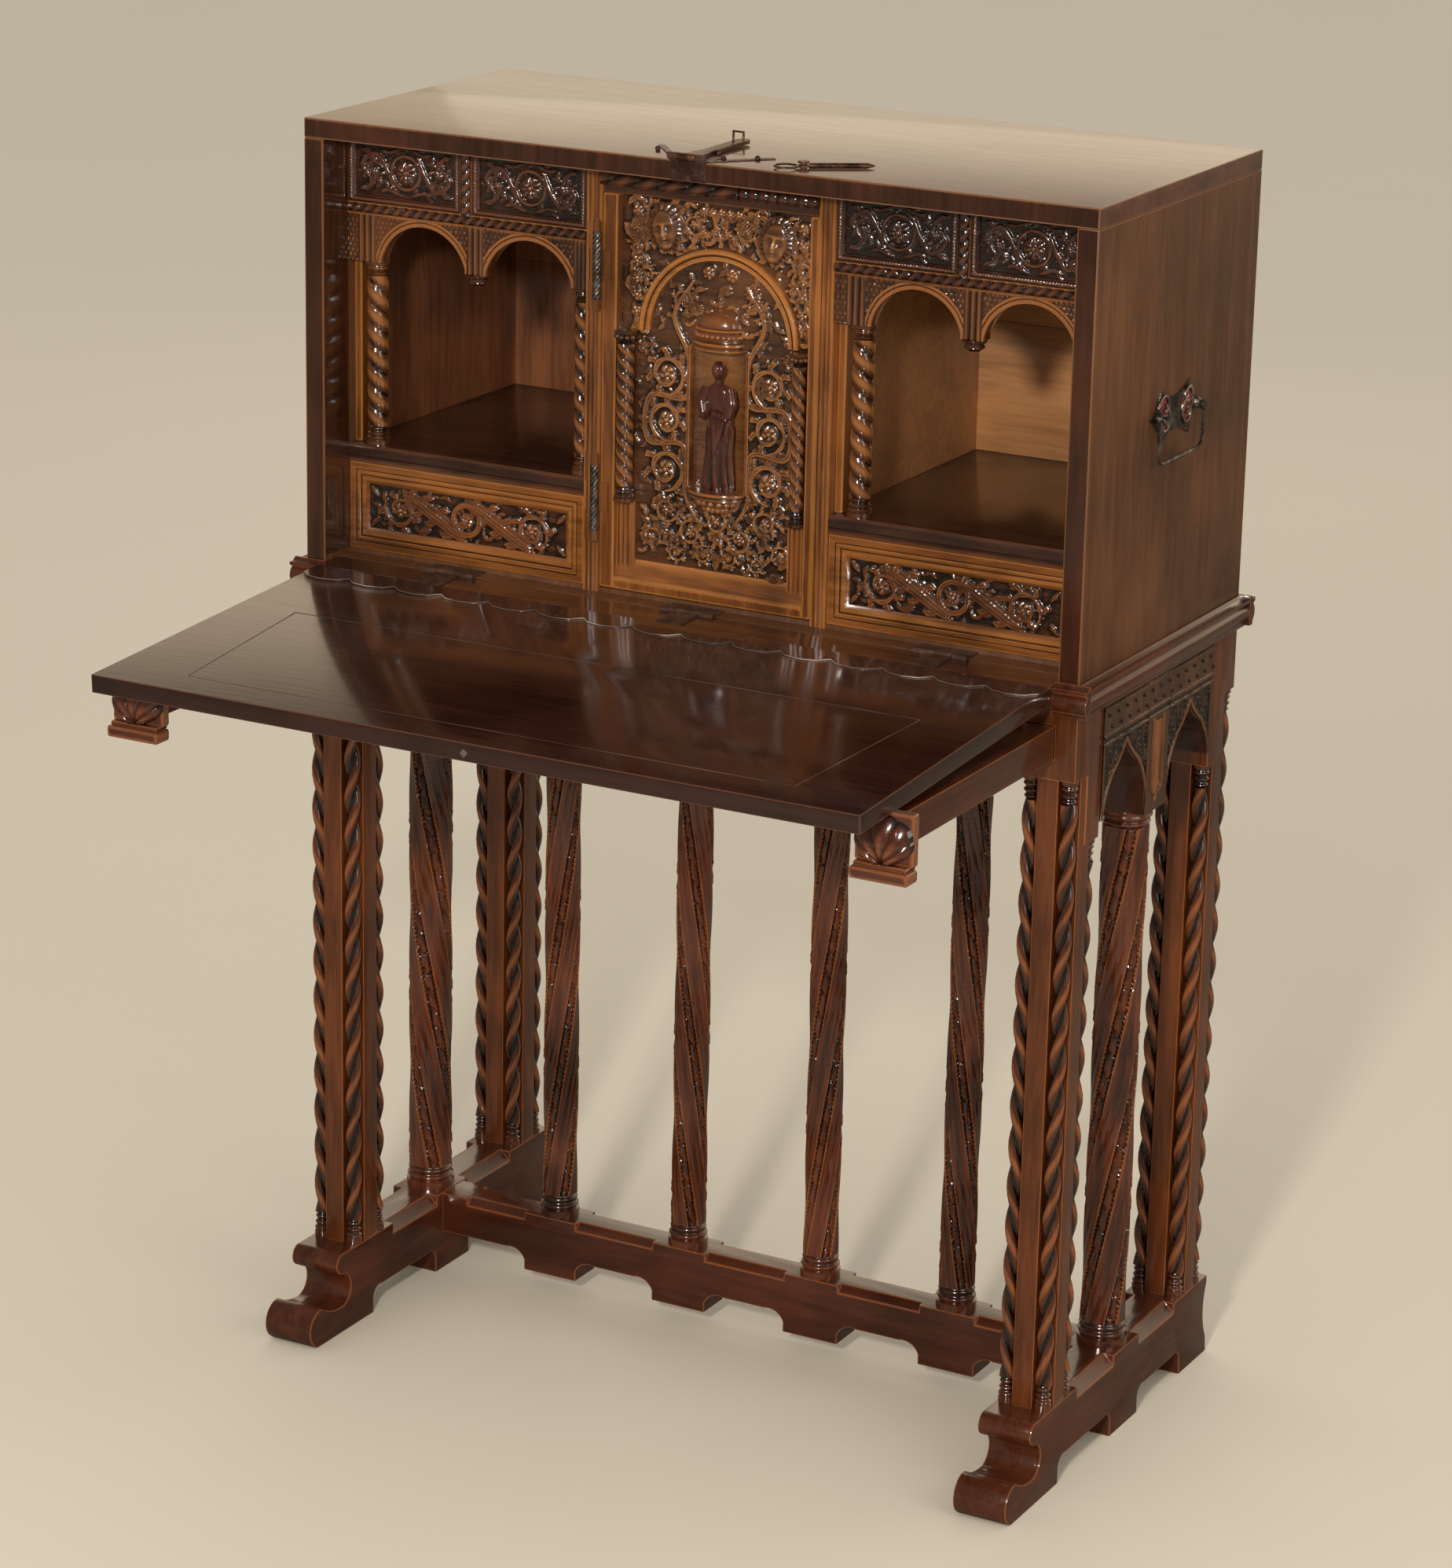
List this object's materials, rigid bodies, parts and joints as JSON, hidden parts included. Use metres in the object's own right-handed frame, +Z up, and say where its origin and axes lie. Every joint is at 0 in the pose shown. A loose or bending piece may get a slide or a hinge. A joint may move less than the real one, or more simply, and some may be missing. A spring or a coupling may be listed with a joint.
{
  "type": "fall-front writing chest on stand",
  "caption": "Carved walnut writing chest with a fall front on pull-out supports, arcaded bays, drawers and a cupboard door, on a bridge stand with spiral columns.",
  "frame": {"origin": "on the floor, under the middle of the piece's box with its fall open", "axes": "+X to the right seen from the front, +Y to the back, +Z up"},
  "size_m": [0.971, 0.8824, 1.417],
  "materials": {
    "stand_walnut": "waxed carved walnut, dark red-brown",
    "chest_walnut": "polished walnut boards",
    "carved_walnut": "carved and waxed walnut with dark hollows",
    "wrought_iron": "worn wrought iron"
  },
  "bodies": {
    "stand_and_chest": {"left_foot": "stand_walnut", "right_foot": "stand_walnut", "stretcher": "stand_walnut", "front_left_post": "stand_walnut", "front_right_post": "stand_walnut", "rear_left_post": "stand_walnut", "rear_right_post": "stand_walnut", "left_end_column": "stand_walnut", "right_end_column": "stand_walnut", "bridge_column_1": "stand_walnut", "bridge_column_2": "stand_walnut", "bridge_column_3": "stand_walnut", "bridge_column_4": "stand_walnut", "left_side_arcade": "stand_walnut", "right_side_arcade": "stand_walnut", "bridge_arcade": "stand_walnut", "rim_moulding": "stand_walnut", "chest_top": "chest_walnut", "chest_left_side": "chest_walnut", "chest_right_side": "chest_walnut", "chest_back": "chest_walnut", "chest_bottom": "chest_walnut", "left_divider": "carved_walnut", "right_divider": "carved_walnut", "left_bay_floor": "chest_walnut", "right_bay_floor": "chest_walnut", "left_bay_ceiling": "carved_walnut", "right_bay_ceiling": "carved_walnut", "left_drawer_post": "carved_walnut", "right_drawer_post": "carved_walnut", "left_bay_arcade": "carved_walnut", "right_bay_arcade": "carved_walnut", "bay_colonettes": "carved_walnut", "door_head": "carved_walnut", "chest_hinge_leaves": "wrought_iron", "divider_hinge_leaves": "wrought_iron", "hasp_plate": "wrought_iron", "pin_staple": "wrought_iron", "handle_plates": "wrought_iron"},
    "fall": {"fall_board": "chest_walnut", "fall_hinge_leaves": "wrought_iron", "fall_strap": "wrought_iron"},
    "left_loper": {"left_loper": "stand_walnut", "left_shell_head": "stand_walnut"},
    "right_loper": {"right_loper": "stand_walnut", "right_shell_head": "stand_walnut"},
    "door": {"door_leaf": "carved_walnut", "door_columns": "carved_walnut", "niche_figure": "carved_walnut", "door_hinge_leaves": "wrought_iron"},
    "hasp": {"hasp_arm": "wrought_iron"},
    "locking_pin": {"locking_pin": "wrought_iron"},
    "left_bail": {"left_bail": "wrought_iron"},
    "right_bail": {"right_bail": "wrought_iron"},
    "left_lower_drawer": {"left_lower_drawer": "carved_walnut"},
    "left_upper_left_drawer": {"left_upper_left_drawer": "carved_walnut"},
    "left_upper_right_drawer": {"left_upper_right_drawer": "carved_walnut"},
    "right_lower_drawer": {"right_lower_drawer": "carved_walnut"},
    "right_upper_left_drawer": {"right_upper_left_drawer": "carved_walnut"},
    "right_upper_right_drawer": {"right_upper_right_drawer": "carved_walnut"}
  },
  "joints": [
    {"name": "fall_hinge", "type": "hinge", "parent": "stand_and_chest", "child": "fall", "pos_m": [0, 0.02218, 0.91], "axis": [-1, 0, 0], "range_deg": [0, 93]},
    {"name": "left_loper_slide", "type": "slide", "parent": "stand_and_chest", "child": "left_loper", "axis": [0, 1, 0], "range_m": [0, 0.35]},
    {"name": "right_loper_slide", "type": "slide", "parent": "stand_and_chest", "child": "right_loper", "axis": [0, 1, 0], "range_m": [0, 0.35]},
    {"name": "door_hinge", "type": "hinge", "parent": "stand_and_chest", "child": "door", "pos_m": [-0.1285, 0.04218, 1.1285], "axis": [0, 0, 1], "range_deg": [-90, 0]},
    {"name": "hasp_hinge", "type": "hinge", "parent": "stand_and_chest", "child": "hasp", "pos_m": [0.005, -0.00682, 1.405], "axis": [1, 0, 0], "range_deg": [0, 270]},
    {"name": "locking_pin_swivel", "type": "hinge", "parent": "stand_and_chest", "child": "locking_pin", "pos_m": [0.124, 0.02618, 1.4032], "axis": [0, 0, 1], "range_deg": [-60, 60]},
    {"name": "left_lower_drawer_slide", "type": "slide", "parent": "stand_and_chest", "child": "left_lower_drawer", "axis": [0, 1, 0], "range_m": [-0.25, 0]},
    {"name": "left_upper_left_drawer_slide", "type": "slide", "parent": "stand_and_chest", "child": "left_upper_left_drawer", "axis": [0, 1, 0], "range_m": [-0.25, 0]},
    {"name": "left_upper_right_drawer_slide", "type": "slide", "parent": "stand_and_chest", "child": "left_upper_right_drawer", "axis": [0, 1, 0], "range_m": [-0.25, 0]},
    {"name": "right_lower_drawer_slide", "type": "slide", "parent": "stand_and_chest", "child": "right_lower_drawer", "axis": [0, 1, 0], "range_m": [-0.25, 0]},
    {"name": "right_upper_left_drawer_slide", "type": "slide", "parent": "stand_and_chest", "child": "right_upper_left_drawer", "axis": [0, 1, 0], "range_m": [-0.25, 0]},
    {"name": "right_upper_right_drawer_slide", "type": "slide", "parent": "stand_and_chest", "child": "right_upper_right_drawer", "axis": [0, 1, 0], "range_m": [-0.25, 0]},
    {"name": "left_bail_swing", "type": "hinge", "parent": "stand_and_chest", "child": "left_bail", "pos_m": [-0.4803, 0.20818, 1.155], "axis": [0, 1, 0], "range_deg": [0, 150]},
    {"name": "right_bail_swing", "type": "hinge", "parent": "stand_and_chest", "child": "right_bail", "pos_m": [0.4803, 0.20818, 1.155], "axis": [0, -1, 0], "range_deg": [0, 150]}
  ]
}
